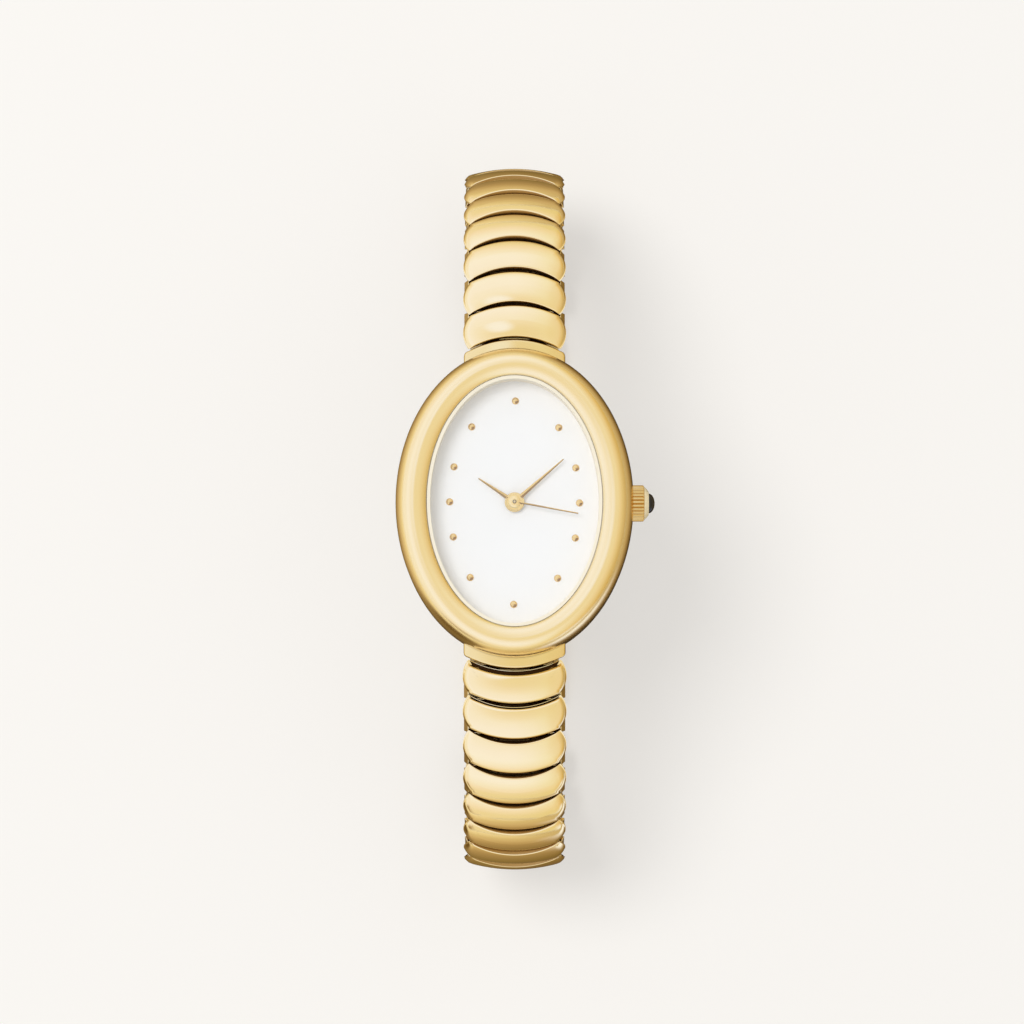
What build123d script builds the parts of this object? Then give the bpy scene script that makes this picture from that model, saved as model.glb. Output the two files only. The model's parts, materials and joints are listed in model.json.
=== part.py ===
from build123d import *
import math
import os

# Oval bracelet watch, stood on its closed clasp with the dial up.
# Millimetres. Origin on the flat under the clasp, below the middle of the dial.
# +Z up, +Y towards twelve o'clock, +X towards the crown.

# Case
case_width = 24.0
case_length = 31.3
opening_width = 17.65
opening_length = 25.3
back_thickness = 0.6
side_rise = 4.3
shoulder_rise = 5.9
crest_rise = 6.8
rim_rise = 6.2
shoulder_inset = 0.45
crest_inset = 1.65
throat_inset = 0.6
cavity_width = 20.2
cavity_length = 27.4
flange_inset = 0.55
dial_rise = 3.9
crystal_seat_rise = 5.3
seat_gap = 0.02

# Hoods that carry the bracelet, one at each end of the case
hood_half_width = 5.1
hood_root = 11.5
hood_top = 1.2
lug_axis_out = 16.9
lug_axis_rise = 2.0

# Back
back_margin = 1.0
back_plug_height = 0.2
back_plug_gap = 0.05

# Crystal and its seal
seal_width = 0.35
seal_height = 0.95
crystal_thickness = 1.3
crystal_bevel = 0.25

# Dial and markers
dial_thickness = 0.4
dial_gap = 0.1
dial_hole_radius = 0.75
marker_radius = 0.38
marker_height = 0.22
marker_slope = 40
marker_inset_side = 2.275
marker_inset_end = 2.35
marker_turn = -0.5

# Hands, as they stand at about eight minutes past ten
hour_turn = 303.5
minute_turn = 48.7
second_turn = 100.5
hour_reach = 4.43
minute_reach = 6.6
second_reach = 6.6
hand_root_width = 0.5
hand_tip_width = 0.12
second_root_width = 0.2
second_tip_width = 0.14
hand_thickness = 0.2
second_thickness = 0.12
hand_step = 0.35
hand_clearance = 0.25
hour_boss_radius = 1.0
minute_boss_radius = 0.8
second_boss_radius = 0.5

# Centre pipes, from the inside out
second_arbor_radius = 0.12
minute_pipe_bore = 0.17
minute_pipe_radius = 0.36
hour_pipe_bore = 0.41
hour_pipe_radius = 0.60
running_gap = 0.05

# Crown and stem
crown_rise = 2.75
crown_radius = 1.85
crown_flute_depth = 0.14
crown_flutes = 28
crown_seat_depth = 0.7
crown_base_gap = 0.1
crown_body_length = 1.55
crown_nose_length = 0.6
crown_nose_radius = 1.15
crown_recess_gap = 0.2
crown_bore_radius = 1.35
crown_bore_depth = 0.95
cabochon_radius = 1.1
cabochon_height = 0.62
cabochon_ring_shares = [0.5, 0.85]
cabochon_tip_share = 0.2
cabochon_sink = 0.25
tube_radius = 1.0
tube_bore = 0.5
stem_radius = 0.42
stem_inner_end = 4.8
stem_grip = 0.6
ring_seal_width = 0.4

# Movement
movement_width = 14.8
movement_length = 17.4
movement_corner = 2.5
movement_gap = 0.05
ring_floor_rise = 1.7
plate_floor_rise = 2.35
works_depth = 0.62
works_radius = 3.3
bridge_rise = 1.0
bridge_thickness = 0.25
bridge_width = 8.0
bridge_length = 9.0
bridge_shift_x = -2.9
bridge_shift_y = 1.7
wheel_thickness = 0.15
arbor_radius = 0.2
battery_radius = 3.4
battery_thickness = 1.45
battery_x = 3.6
battery_y = -4.9
coil_radius = 0.65
coil_length = 8.6
coil_y = 7.4
stator_thickness = 0.3
stator_width = 3.0
stator_length = 4.2
rotor_radius = 0.8
rotor_window = 1.05
board_width = 4.6
board_length = 4.0
board_thickness = 0.3
board_x = -3.9
board_y = -5.2

# Train: plan places of the arbors and wheel radii
third_x = -1.9
third_y = -1.1
third_radius = 1.75
second_wheel_radius = 1.3
centre_wheel_radius = 1.6
intermediate_x = -2.0
intermediate_y = 2.2
intermediate_radius = 1.25
rotor_x = -4.0
rotor_y = 4.1
works_x = 1.75
works_y = 0.0
minute_wheel_radius = 0.95
hour_wheel_radius = 1.1
cannon_radius = 0.5

# Bracelet
links_per_side = 13
link_pitch = 3.5
link_width = 10.5
horn_half_width = 4.55
nose_half_width = 4.45
side_from_share = 0.02
side_to_share = 0.42
crescent_rise = 1.05
near_edge = 0.05
joint_gap = 0.15
cap_top = 1.5
dome_radius = 17.0
roll_radius = 7.6
roll_centre_share = 0.26
horn_floor = 0.2
knuckle_radius = 0.75
knuckle_gap = 0.07
knuckle_side_gap = 0.06
tongue_half_width = 1.6
ear_half_width = 4.95
pin_radius = 0.36
pin_gap = 0.05
link_slopes = [5, 13, 24, 36, 46, 56, 70, 86, 105, 125, 144, 161, 173]

# Clasp
clasp_axis_rise = 1.9
clasp_half_width = 4.2
box_floor_thickness = 0.7
box_wall = 0.5
box_wall_top = 1.0
box_end_gap = 0.4
cover_thickness = 0.6
cover_gap = 0.1
cover_flange = 0.5
cover_flange_floor = -0.1
cover_pin_out = 3.4
cover_pin_lift = 0.5
cover_pin_radius = 0.4
cover_root_gap = 0.25
cover_pin_margin = 0.8
cover_end_gap = 4.2
ladder_half_width = 3.3
ladder_thickness = 0.7
ladder_floor = 0.25
ladder_tip = 3.0
ladder_root = 1.3
window_count = 5
window_pitch = 3.5
window_half_width = 1.5
window_spare = 0.3
window_slack = 1.0
peg_out = -8.0
peg_half_length = 0.6
peg_half_width = 0.9
peg_depth = 1.0

# Ovals, small rounds and repeated curves are drawn with few flats. The case's
# own flats stay within two hundredths of a millimetre of the curve.
case_flats = 72
oval_flats = 48
round_flats = 12
marker_flats = 8
knuckle_flats = 8
pin_flats = 6
crescent_flats = 6

cut_over = 1.0

# Heights and places that follow from the sizes above
drop = link_pitch * sum(math.sin(math.radians(s)) for s in link_slopes)
reach = link_pitch * sum(math.cos(math.radians(s)) for s in link_slopes)
lug_axis_z = clasp_axis_rise + drop
clasp_axis_y = lug_axis_out + reach
back_z = lug_axis_z - lug_axis_rise
case_floor = back_z + back_thickness
dial_z = back_z + dial_rise
crystal_z = back_z + crystal_seat_rise
crown_z = back_z + crown_rise
plate_z = back_z + plate_floor_rise
dial_floor = dial_z - dial_thickness
works_floor = dial_floor - works_depth
bridge_z = back_z + bridge_rise
bore_radius = arbor_radius + running_gap


def save(name, shape):
    os.makedirs("parts", exist_ok=True)
    export_step(shape, "parts/" + name + ".step")


def block(x_low, x_high, y_low, y_high, z_low, z_high):
    centre = ((x_low + x_high) / 2, (y_low + y_high) / 2, (z_low + z_high) / 2)
    return Pos(*centre) * Box(x_high - x_low, y_high - y_low, z_high - z_low)


def oval_outline(width, length, z, flats=oval_flats):
    """An oval whose corners lie on the curve."""
    points = []
    for i in range(flats):
        angle = 2 * math.pi * i / flats
        points.append((width / 2 * math.cos(angle), length / 2 * math.sin(angle)))
    return Pos(0, 0, z) * make_face(Polyline(*points, close=True))


def oval(width, length, low, high, flats=oval_flats):
    return extrude(oval_outline(width, length, low, flats), high - low)


def flats_turn(flats):
    return 180 / flats


def shaft(radius, x, y, low, high, flats=round_flats):
    """An upright round whose corners lie on the radius."""
    face = Rot(0, 0, flats_turn(flats)) * RegularPolygon(radius, flats)
    return Pos(x, y, low) * extrude(face, high - low)


def hole(radius, x, y, low, high, flats=round_flats):
    """An upright round whose flats lie on the radius."""
    return shaft(radius / math.cos(math.pi / flats), x, y, low, high, flats)


def lying(radius, x_low, x_high, y, z, flats=round_flats):
    """A round along X whose corners lie on the radius."""
    return Pos(x_low, y, z) * Rot(0, 90, 0) * shaft(radius, 0, 0, 0, x_high - x_low, flats)


def lying_hole(radius, x_low, x_high, y, z, flats=round_flats):
    """A round along X whose flats lie on the radius."""
    return lying(radius / math.cos(math.pi / flats), x_low, x_high, y, z, flats)


def crescent(half_width, middle, rise, flats=crescent_flats):
    """Points of a shallow arc, its ends nearer the case than its middle."""
    radius = (half_width**2 + rise**2) / (2 * rise)
    points = []
    for i in range(flats + 1):
        x = half_width * (2 * i / flats - 1)
        points.append((x, middle - radius + math.sqrt(radius**2 - x**2)))
    return points


# Bracelet links. In a link's own frame X runs across the bracelet, Y along it
# from the case-side hinge, and Z out of the wrist.


def vault(top):
    """Everything under the shallow arch that rounds a cap across the bracelet."""
    return Pos(0, 0, top - dome_radius) * Rot(90, 0, 0) * Cylinder(dome_radius, 6 * link_width)


def cap():
    nose = link_pitch - near_edge - joint_gap
    near = crescent(horn_half_width, -near_edge, crescent_rise)
    far = crescent(nose_half_width, nose, crescent_rise)
    half = link_width / 2
    side = [(half, side_from_share * link_pitch), (half, side_to_share * link_pitch)]
    other_side = [(-x, y) for x, y in reversed(side)]
    outline = make_face(Polyline(*near, *side, *reversed(far), *other_side, close=True))
    solid = extrude(Pos(0, 0, -knuckle_radius) * outline, knuckle_radius + cap_top)
    roll = Pos(0, roll_centre_share * link_pitch, cap_top - roll_radius) * Rot(0, 90, 0)
    return solid & vault(cap_top) & (roll * Cylinder(roll_radius, 2 * link_width))


def knuckle(x_low, x_high, y, z):
    return lying_hole(knuckle_radius, x_low, x_high, y, z, knuckle_flats)


def knuckle_reach():
    return knuckle_radius / math.cos(math.pi / knuckle_flats) + knuckle_gap


def knuckle_room(half, y, z):
    return lying_hole(knuckle_reach(), -half, half, y, z, knuckle_flats)


def tongue(y, z):
    """The middle knuckle at the far end of a link or hood, with its arm."""
    root = y - 2 * knuckle_radius
    low, high = z - knuckle_radius, z + knuckle_radius
    arm = block(-tongue_half_width, tongue_half_width, root, y, low, high)
    return arm + knuckle(-tongue_half_width, tongue_half_width, y, z)


def tongue_bore(y, z):
    return lying_hole(pin_radius + pin_gap, -tongue_half_width, tongue_half_width, y, z, pin_flats)


def ear_room(y, z):
    """The room that the next link's ears turn in, on both sides of the tongue."""
    half = link_width
    room = knuckle_room(half, y, z)
    room += block(-half, half, y - knuckle_reach(), y + knuckle_reach(), z - cap_top, z)
    inner = tongue_half_width
    high = z + 2 * cap_top
    return room - block(-inner, inner, y - link_pitch, y + link_pitch, z - 2 * cap_top, high)


def tongue_room():
    """The room for the tongue of the link before, at a near hinge."""
    half = tongue_half_width + knuckle_side_gap
    return knuckle_room(half, 0, 0) + block(-half, half, -link_pitch, 0, -cap_top, knuckle_reach())


def ears(outer):
    """The two outer knuckles at a near hinge and the pin that they hold."""
    inner = tongue_half_width + knuckle_side_gap
    pin = lying(pin_radius, -inner, inner, 0, 0, pin_flats)
    return knuckle(-outer, -inner, 0, 0) + knuckle(inner, outer, 0, 0) + pin


def link():
    solid = cap() - ear_room(link_pitch, 0) - tongue_room()
    solid -= block(-link_width, link_width, -link_pitch, 0, -cap_top, horn_floor)
    solid += ears(ear_half_width)
    solid += tongue(link_pitch, 0)
    return solid - tongue_bore(link_pitch, 0)


def hinge_places():
    """The near hinge of each link of the twelve o'clock side, and its slope."""
    y, z = lug_axis_out, lug_axis_z
    places = []
    for slope in link_slopes:
        places.append((y, z, slope))
        y += link_pitch * math.cos(math.radians(slope))
        z -= link_pitch * math.sin(math.radians(slope))
    return places


def on_side(side, y, z, slope, shape):
    """Sets a shape of a link's frame at a hinge, on the twelve (1) or six (-1) side."""
    turn = Rot(0, 0, 0) if side > 0 else Rot(0, 0, 180)
    return turn * Pos(0, y, z) * Rot(-slope, 0, 0) * shape


# Clasp. Both halves are drawn in a link's frame at the last hinge, where Z
# points out of the wrist, which is down on the closed bracelet.


def clasp_box():
    near = box_end_gap + knuckle_radius
    length = clasp_axis_y - box_end_gap
    half, inside = clasp_half_width, clasp_half_width - box_wall
    floor = -knuckle_radius
    shell = block(-half, half, 0, length, floor, floor + box_floor_thickness)
    pin_end = cover_pin_out - cover_pin_margin * cover_pin_radius
    for low, high in ((-half, -inside), (inside, half)):
        shell += block(low, high, near, length, floor, cover_pin_lift)
        shell += block(low, high, pin_end, length, floor, box_wall_top)
    shell -= tongue_room()
    shell += ears(half)
    bore = lying_hole(cover_pin_radius, -half, half, cover_pin_out, cover_pin_lift, pin_flats)
    shell -= bore
    end = half + cover_gap + cover_flange
    pin = lying_hole(cover_pin_radius, -end, end, cover_pin_out, cover_pin_lift, pin_flats)
    return [shell, pin]


def cover_inside():
    return clasp_axis_rise - cover_thickness


def clasp_cover():
    inside = clasp_half_width + cover_gap
    outside = inside + cover_flange
    start = cover_pin_out + cover_root_gap
    end = 2 * clasp_axis_y - cover_end_gap
    face = cover_inside()
    tray = block(-outside, outside, start, end, face, clasp_axis_rise)
    for low, high in ((-outside, -inside), (inside, outside)):
        tray += block(low, high, start, end, cover_flange_floor, clasp_axis_rise)
        flat = cover_pin_lift - cover_flange_floor
        tray += lying_hole(flat, low, high, cover_pin_out, cover_pin_lift, knuckle_flats)
        bore = cover_pin_radius / math.cos(math.pi / pin_flats) + running_gap
        tray -= lying_hole(bore, low - cut_over, high + cut_over, cover_pin_out, cover_pin_lift, knuckle_flats)
    peg = clasp_axis_y - peg_out
    low, high = peg - peg_half_length, peg + peg_half_length
    return tray + block(-peg_half_width, peg_half_width, low, high, face - peg_depth, face)


def ladder_plate():
    length = clasp_axis_y + ladder_tip
    top = ladder_floor + ladder_thickness
    half = ladder_half_width
    plate = block(-half, half, 0, length, ladder_floor, top)
    plate += block(-clasp_half_width, clasp_half_width, 0, ladder_root, -knuckle_radius, top)
    plate = plate - tongue_room() + ears(clasp_half_width)
    low = clasp_axis_y + peg_out - peg_half_length - window_spare
    high = clasp_axis_y + peg_out + peg_half_length + window_slack
    for i in range(window_count):
        step = (i - window_count + 2) * window_pitch
        plate -= block(-window_half_width, window_half_width, low + step, high + step, ladder_floor, top)
    return plate


# Case


def case_section(inset, rise):
    """The case outline, drawn in by an inset at its sides and in step at its ends."""
    share = 1 - 2 * inset / case_width
    return oval_outline(share * case_width, share * case_length, back_z + rise, case_flats)


def bezel_form():
    """The outside of the case: upright side, outer slope and crown of the bezel."""
    solid = extrude(case_section(0, back_thickness), side_rise - back_thickness)
    lower = [case_section(0, side_rise), case_section(shoulder_inset, shoulder_rise)]
    upper = [case_section(shoulder_inset, shoulder_rise), case_section(crest_inset, crest_rise)]
    return solid + loft(lower, ruled=True) + loft(upper, ruled=True)


def bezel_throat():
    """The inner slope of the bezel, down to the crystal's opening."""
    low = oval_outline(opening_width, opening_length, back_z + rim_rise, case_flats)
    share = 1 + 2 * throat_inset / opening_width
    wide = oval_outline(share * opening_width, share * opening_length, back_z + crest_rise, case_flats)
    return loft([low, wide], ruled=True)


def hood():
    """The end piece that covers the first hinge, with its tongue."""
    nose = lug_axis_out - near_edge - joint_gap
    far = crescent(nose_half_width, nose, crescent_rise)
    shoulder = nose - crescent_rise - link_pitch * side_from_share
    side = [(hood_half_width, hood_root), (hood_half_width, shoulder - crescent_rise)]
    other_side = [(-x, y) for x, y in reversed(side)]
    outline = make_face(Polyline(*side, *reversed(far), *other_side, close=True))
    low = lug_axis_z - knuckle_radius
    solid = extrude(Pos(0, 0, low) * outline, knuckle_radius + hood_top)
    solid &= vault(lug_axis_z + hood_top)
    return solid - ear_room(lug_axis_out, lug_axis_z) + tongue(lug_axis_out, lug_axis_z)


def case_body():
    solid = bezel_form()
    for turn in (0, 180):
        solid += Rot(0, 0, turn) * hood()
    solid -= bezel_throat()
    solid -= oval(opening_width, opening_length, crystal_z, back_z + rim_rise, case_flats)
    flange = 2 * flange_inset
    solid -= oval(opening_width - flange, opening_length - flange, dial_z, crystal_z)
    solid -= oval(cavity_width, cavity_length, case_floor, dial_z)
    for turn in (0, 180):
        solid -= Rot(0, 0, turn) * tongue_bore(lug_axis_out, lug_axis_z)
    recess = case_width / 2 - crown_seat_depth
    far = case_width / 2 + cut_over
    solid -= lying(crown_radius + crown_recess_gap, recess, far, 0, crown_z, 2 * round_flats)
    solid -= lying_hole(tube_radius + seat_gap, 0, recess, 0, crown_z)
    return solid


def case_back():
    margin = 2 * back_margin
    plate = oval(case_width - margin, case_length - margin, back_z, case_floor)
    gap = 2 * back_plug_gap
    high = case_floor + back_plug_height
    return plate + oval(cavity_width - gap, cavity_length - gap, case_floor, high)


def crystal():
    gap = 2 * (seal_width + seat_gap)
    width, length = opening_width - gap, opening_length - gap
    rim = crystal_z + crystal_thickness - crystal_bevel
    body = oval(width, length, crystal_z, rim)
    bevel = 2 * crystal_bevel
    face = oval_outline(width - bevel, length - bevel, rim + crystal_bevel)
    return body + loft([oval_outline(width, length, rim), face], ruled=True)


def crystal_gasket():
    gap = 2 * seat_gap
    high = crystal_z + seal_height
    ring = oval(opening_width - gap, opening_length - gap, crystal_z, high)
    inner = 2 * seal_width
    return ring - oval(opening_width - inner, opening_length - inner, crystal_z, high)


def dial():
    gap = 2 * dial_gap
    plate = oval(cavity_width - gap, cavity_length - gap, dial_floor, dial_z)
    return plate - hole(dial_hole_radius, 0, 0, dial_floor, dial_z)


def hour_markers():
    dots = []
    for hour in range(12):
        angle = math.radians(30 * hour)
        across = opening_width / 2 - marker_inset_side
        along = opening_length / 2 - marker_inset_end
        radius = 1 / math.hypot(math.sin(angle) / across, math.cos(angle) / along)
        dot = extrude(RegularPolygon(marker_radius, marker_flats), marker_height, taper=marker_slope)
        dots.append(Pos(radius * math.sin(angle), radius * math.cos(angle), dial_z) * dot)
    return [Rot(0, 0, marker_turn) * dot for dot in dots]


# Hands


def hand_z(level):
    return dial_z + hand_clearance + level * hand_step


def roof(width, height):
    return Polyline((-width / 2, 0), (width / 2, 0), (0, height), close=True)


def arm(reach_out, root_width, tip_width, thickness, turn, z):
    """A tapered arm with a ridge along its middle, pointing turn degrees past twelve."""
    root = Plane.XZ * make_face(roof(root_width, thickness))
    tip = Plane.XZ.offset(-reach_out) * make_face(roof(tip_width, thickness * tip_width / root_width))
    return Rot(0, 0, -turn) * Pos(0, 0, z) * loft([root, tip], ruled=True)


def hand(level, reach_out, widths, thickness, turn, boss, bore):
    z = hand_z(level)
    solid = arm(reach_out, widths[0], widths[1], thickness, turn, z)
    solid += shaft(boss, 0, 0, z, z + thickness, 2 * round_flats)
    return solid - hole(bore + seat_gap, 0, 0, z - cut_over, z + cut_over)


# Crown, in the case's frame with its axis along X


def crown_start():
    return case_width / 2 - crown_seat_depth + crown_base_gap


def crown_outline():
    points = []
    for i in range(2 * crown_flutes):
        radius = crown_radius - (i % 2) * crown_flute_depth
        angle = math.pi * i / crown_flutes
        points.append((radius * math.cos(angle), radius * math.sin(angle)))
    return make_face(Polyline(*points, close=True))


def crown():
    start = crown_start()
    place = Pos(start, 0, crown_z) * Rot(0, 90, 0)
    solid = place * extrude(crown_outline(), crown_body_length)
    root = crown_radius - crown_flute_depth
    low = Pos(0, 0, crown_body_length) * RegularPolygon(root, 2 * round_flats)
    nose = Pos(0, 0, crown_body_length + crown_nose_length) * RegularPolygon(crown_nose_radius, 2 * round_flats)
    solid += place * loft([low, nose], ruled=True)
    bore_end = start + crown_bore_depth
    solid -= lying_hole(crown_bore_radius, start, bore_end, 0, crown_z)
    grip = bore_end + stem_grip
    solid -= lying_hole(stem_radius + seat_gap, bore_end, grip, 0, crown_z)
    end = start + crown_body_length + crown_nose_length
    seat = cabochon_radius + seat_gap
    return solid - lying_hole(seat, end - cabochon_sink, end, 0, crown_z)


def crown_cabochon():
    end = crown_start() + crown_body_length + crown_nose_length
    place = Pos(end - cabochon_sink, 0, crown_z) * Rot(0, 90, 0)
    steps = [(0, 1), (cabochon_sink, 1)]
    for share in cabochon_ring_shares:
        steps.append((cabochon_sink + cabochon_height * share, math.sqrt(1 - share**2)))
    steps.append((cabochon_sink + cabochon_height, cabochon_tip_share))
    sections = []
    for height, share in steps:
        sections.append(Pos(0, 0, height) * RegularPolygon(cabochon_radius * share, round_flats))
    return place * loft(sections, ruled=True)


def winding_stem():
    end = crown_start() + crown_bore_depth + stem_grip
    return lying(stem_radius, stem_inner_end, end, 0, crown_z)


def crown_tube():
    start = cavity_width / 2
    end = crown_start() + crown_bore_depth - crown_base_gap
    tube = lying(tube_radius, start, end, 0, crown_z)
    return tube - lying_hole(tube_bore, start, end, 0, crown_z)


def crown_gasket():
    outer = crown_bore_radius - seat_gap
    low = crown_start() + ring_seal_width
    ring = lying(outer, low, low + ring_seal_width, 0, crown_z)
    return ring - lying_hole(tube_radius + seat_gap, low, low + ring_seal_width, 0, crown_z)


# Movement


def movement_outline(grow, low, high):
    width, length = movement_width + 2 * grow, movement_length + 2 * grow
    solid = extrude(Pos(0, 0, low) * Rectangle(width, length), high - low)
    return chamfer(solid.edges().filter_by(Axis.Z), movement_corner)


def movement_ring():
    low = back_z + ring_floor_rise
    gap = 2 * dial_gap
    ring = oval(cavity_width - gap, cavity_length - gap, low, dial_floor)
    ring -= movement_outline(movement_gap, low, dial_floor)
    passage = tube_bore + running_gap
    return ring - lying_hole(passage, 0, cavity_width, 0, crown_z)


def train_places():
    """Plan places of the arbors that turn between the plate and the bridge."""
    return [(third_x, third_y), (intermediate_x, intermediate_y), (rotor_x, rotor_y)]


def main_plate():
    plate = movement_outline(0, plate_z, dial_floor)
    plate -= hole(works_radius, 0, 0, works_floor, dial_floor)
    plate -= hole(minute_pipe_radius + running_gap, 0, 0, plate_z, works_floor)
    for x, y in train_places():
        plate -= hole(bore_radius, x, y, plate_z, works_floor)
    stud = shaft(arbor_radius, works_x, works_y, works_floor, dial_floor)
    passage = stem_radius + running_gap
    plate -= lying_hole(passage, stem_inner_end - running_gap, movement_width, 0, crown_z)
    return plate + stud


def train_bridge():
    x, y = bridge_shift_x, bridge_shift_y
    high = bridge_z + bridge_thickness
    half_width, half_length = bridge_width / 2, bridge_length / 2
    bridge = block(x - half_width, x + half_width, y - half_length, y + half_length, bridge_z, high)
    posts = [(x - half_width, y - half_length), (x + half_width, y + half_length)]
    size = 2 * arbor_radius
    for px, py in posts:
        out_x, out_y = math.copysign(size, x - px), math.copysign(size, y - py)
        x_ends, y_ends = sorted((px, px + out_x)), sorted((py, py + out_y))
        bridge += block(*x_ends, *y_ends, bridge_z, plate_z)
    for px, py in [(0, 0)] + train_places():
        bridge -= hole(bore_radius, px, py, bridge_z, high)
    return bridge


def wheel(x, y, radius, level, top):
    """A wheel on its arbor: level counts wheel planes up from the bridge."""
    disc_z = bridge_z + bridge_thickness + running_gap + level * 2 * wheel_thickness
    disc = shaft(radius, x, y, disc_z, disc_z + wheel_thickness)
    return disc + shaft(arbor_radius, x, y, bridge_z + running_gap, top)


def second_wheel():
    disc = wheel(0, 0, second_wheel_radius, 0, plate_z - running_gap)
    return disc + shaft(second_arbor_radius, 0, 0, plate_z - cut_over, hand_z(2) + 2 * second_thickness)


def centre_wheel():
    """The minute pipe with its wheel under the plate."""
    low = plate_z - wheel_thickness - running_gap
    pipe = shaft(minute_pipe_radius, 0, 0, low, hand_z(1) + hand_thickness)
    pipe += shaft(centre_wheel_radius, 0, 0, low, low + wheel_thickness)
    high = works_floor + running_gap + wheel_thickness
    pipe += shaft(cannon_radius, 0, 0, works_floor + running_gap, high)
    return pipe - hole(minute_pipe_bore, 0, 0, low, hand_z(1) + hand_thickness)


def minute_wheel():
    low = works_floor + running_gap
    disc = shaft(minute_wheel_radius, works_x, works_y, low, low + wheel_thickness)
    return disc - hole(bore_radius, works_x, works_y, low, low + wheel_thickness)


def hour_wheel():
    low = works_floor + 2 * running_gap + wheel_thickness
    high = hand_z(0) + hand_thickness
    pipe = shaft(hour_pipe_radius, 0, 0, low, high)
    pipe += shaft(hour_wheel_radius, 0, 0, low, low + wheel_thickness)
    return pipe - hole(hour_pipe_bore, 0, 0, low, high)


def rotor():
    low = plate_z - running_gap - 2 * stator_thickness
    magnet = shaft(rotor_radius, rotor_x, rotor_y, low, low + stator_thickness)
    return magnet + shaft(arbor_radius, rotor_x, rotor_y, bridge_z + running_gap, plate_z + running_gap)


def stator():
    low = plate_z - running_gap - 2 * stator_thickness
    half_width, half_length = stator_width / 2, stator_length / 2
    x_low, x_high = rotor_x - half_width, rotor_x + half_width
    y_low, y_high = rotor_y - half_length, rotor_y + half_length
    plate = block(x_low, x_high, y_low, y_high, low, low + stator_thickness)
    return plate - hole(rotor_window, rotor_x, rotor_y, low, low + stator_thickness)


def coil():
    half = coil_length / 2
    z = plate_z - coil_radius
    return lying(coil_radius, -half, half, coil_y, z)


def battery():
    return shaft(battery_radius, battery_x, battery_y, plate_z - battery_thickness, plate_z, 2 * round_flats)


def circuit_board():
    half_width, half_length = board_width / 2, board_length / 2
    x_low, x_high = board_x - half_width, board_x + half_width
    y_low, y_high = board_y - half_length, board_y + half_length
    return block(x_low, x_high, y_low, y_high, plate_z - board_thickness, plate_z)


def make_bracelet():
    for name, side in (("twelve", 1), ("six", -1)):
        for i, (y, z, slope) in enumerate(hinge_places()):
            save(f"link_{name}_{i + 1:02d}", on_side(side, y, z, slope, link()))
    end = (clasp_axis_y, clasp_axis_rise, 180)
    save("clasp_box", Compound([on_side(1, *end, solid) for solid in clasp_box()]))
    save("clasp_cover", on_side(1, *end, clasp_cover()))
    save("ladder_plate", on_side(-1, *end, ladder_plate()))


def make_case():
    save("case_body", case_body())
    save("case_back", case_back())
    save("crystal", crystal())
    save("crystal_gasket", crystal_gasket())
    save("dial", dial())
    save("hour_markers", Compound(hour_markers()))
    save("crown", crown())
    save("crown_cabochon", crown_cabochon())
    save("crown_tube", crown_tube())
    save("crown_gasket", crown_gasket())
    save("winding_stem", winding_stem())


def make_hands():
    wide = (hand_root_width, hand_tip_width)
    thin = (second_root_width, second_tip_width)
    hour_bore, minute_bore, second_bore = hour_pipe_radius, minute_pipe_radius, second_arbor_radius
    save("hour_hand", hand(0, hour_reach, wide, hand_thickness, hour_turn, hour_boss_radius, hour_bore))
    save("minute_hand", hand(1, minute_reach, wide, hand_thickness, minute_turn, minute_boss_radius, minute_bore))
    save("second_hand", hand(2, second_reach, thin, second_thickness, second_turn, second_boss_radius, second_bore))


def make_movement():
    save("movement_ring", movement_ring())
    save("main_plate", main_plate())
    save("train_bridge", train_bridge())
    save("second_wheel", second_wheel())
    save("third_wheel", wheel(third_x, third_y, third_radius, 1, plate_z + running_gap))
    save("intermediate_wheel", wheel(intermediate_x, intermediate_y, intermediate_radius, 0, plate_z + running_gap))
    save("centre_wheel", centre_wheel())
    save("minute_wheel", minute_wheel())
    save("hour_wheel", hour_wheel())
    save("rotor", rotor())
    save("stator", stator())
    save("coil", coil())
    save("battery", battery())
    save("circuit_board", circuit_board())


make_bracelet()
make_case()
make_hands()
make_movement()
print("lug axis height", round(lug_axis_z, 3), "clasp axis", round(clasp_axis_y, 3), "back", round(back_z, 3))
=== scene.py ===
import json
import math

import bpy
from mathutils import Matrix, Vector


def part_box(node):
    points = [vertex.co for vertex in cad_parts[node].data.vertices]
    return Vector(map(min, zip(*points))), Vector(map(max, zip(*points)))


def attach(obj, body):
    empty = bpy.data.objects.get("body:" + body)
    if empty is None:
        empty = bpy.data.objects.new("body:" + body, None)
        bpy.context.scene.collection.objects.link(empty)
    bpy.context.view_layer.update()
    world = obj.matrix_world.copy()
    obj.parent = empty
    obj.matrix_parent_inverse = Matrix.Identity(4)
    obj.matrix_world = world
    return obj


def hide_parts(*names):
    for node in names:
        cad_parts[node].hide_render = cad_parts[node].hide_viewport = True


# Oval bracelet watch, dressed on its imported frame. Sizes are in metres.
mm = 0.001

# Case: half sizes across and along, and heights over the back
case_across = 12.0 * mm
case_along = 15.65 * mm
opening_across = 8.825 * mm
opening_along = 12.65 * mm
wall_foot = 0.6 * mm
wall_top = 4.25 * mm
crest = 6.8 * mm
crest_share = 0.58
inner_edge_share = 0.985
inner_roll = 0.86 * mm
inner_turn = 60.0
outer_steps = 14
inner_steps = 12
rim = 6.1 * mm
rim_drop = 0.12 * mm
seat = 5.3 * mm
dial_level = 3.9 * mm
flange_inset = 0.34 * mm
flange_slope = 0.12 * mm
pale_rows = 4
cavity_across = 10.1 * mm
cavity_along = 13.7 * mm
oval_steps = 180

# Crown recess in the case side
recess_radius = 2.05 * mm
recess_depth = 0.7 * mm
recess_length = 4.0 * mm
recess_steps = 64
crown_rise = 2.75 * mm

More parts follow.
